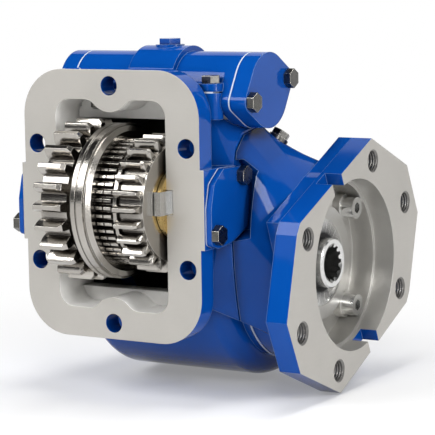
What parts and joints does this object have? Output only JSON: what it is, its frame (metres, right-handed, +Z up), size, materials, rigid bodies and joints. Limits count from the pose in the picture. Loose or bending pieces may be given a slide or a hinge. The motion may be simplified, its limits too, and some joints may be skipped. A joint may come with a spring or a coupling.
{
  "type": "power take off unit",
  "caption": "Side-mounted power take off: a gear cluster in a windowed cast case drives a spline output, with a piston shift fork and a pump flange.",
  "frame": {"origin": "centre of the six mounting holes on the machined mounting face", "axes": "the mounting face is the plane Y = 0 and looks along -Y; +X runs along the shafts to the pump flange; +Z is up in the picture"},
  "size_m": [0.1768, 0.218, 0.2072],
  "materials": {
    "painted_casting": "glossy blue enamel over cast iron, machined bare on the mounting faces",
    "gasket": "pale compressed fibre sheet",
    "zinc_hardware": "zinc plated",
    "bright_steel": "ground bright",
    "gear_steel": "machined and hardened, oiled",
    "brass": "turned",
    "seal_rubber": "moulded",
    "piston_aluminium": "turned",
    "spring_steel": "oiled wire"
  },
  "bodies": {
    "housing": {"case": "painted_casting", "pump_flange": "painted_casting", "shift_housing": "painted_casting", "end_cap_right": "painted_casting", "end_cap_left": "painted_casting", "rear_cover": "painted_casting", "side_plate_right": "painted_casting", "side_plate_left": "painted_casting", "flange_gasket": "gasket", "side_gasket_right": "gasket", "side_gasket_left": "gasket", "shift_gasket": "gasket", "cap_gasket_right": "gasket", "cap_gasket_left": "gasket", "rear_gasket": "gasket", "flange_screws": "zinc_hardware", "side_plate_screws": "zinc_hardware", "shift_bolts": "zinc_hardware", "end_cap_bolts": "zinc_hardware", "rear_cover_screws": "zinc_hardware", "top_plug": "zinc_hardware", "washer_lock": "bright_steel", "idler_shaft": "bright_steel", "thrust_washer_right": "brass", "thrust_washer_left": "brass", "front_bearing_outer": "bright_steel", "rear_bearing_outer": "bright_steel", "output_seal": "seal_rubber", "return_spring": "spring_steel"},
    "input_cluster": {"cluster_hub": "gear_steel", "input_gear": "gear_steel", "collar_ring": "gear_steel", "dog_sleeve": "gear_steel", "drive_gear": "gear_steel", "needle_rollers": "bright_steel"},
    "output": {"output_shaft": "gear_steel", "front_bearing_inner": "bright_steel", "rear_bearing_inner": "bright_steel", "front_bearing_rollers": "bright_steel", "rear_bearing_rollers": "bright_steel"},
    "slider": {"sliding_gear": "gear_steel"},
    "shifter": {"piston": "piston_aluminium", "piston_ring": "seal_rubber", "shift_rod": "bright_steel", "shift_fork": "gear_steel"}
  },
  "joints": [
    {"name": "cluster_spin", "type": "hinge", "parent": "housing", "child": "input_cluster", "pos_m": [0, 0.0123, 0.0015], "axis": [1, 0, 0], "continuous": true},
    {"name": "output_spin", "type": "hinge", "parent": "housing", "child": "output", "pos_m": [0, 0.09832, -0.04101], "axis": [1, 0, 0], "continuous": true},
    {"name": "shift_slide", "type": "slide", "parent": "housing", "child": "shifter", "axis": [-1, 0, 0], "range_m": [0, 0.0172], "stiffness_N_per_m": 2000, "springref_m": -0.02, "deforming": ["return_spring"]},
    {"name": "gear_slide", "type": "slide", "parent": "output", "child": "slider", "axis": [-1, 0, 0], "range_m": [0, 0.0172]}
  ],
  "couplings": [
    {"joint": "output_spin", "follows": "cluster_spin", "ratio": -0.61905},
    {"joint": "gear_slide", "follows": "shift_slide", "ratio": 1}
  ]
}
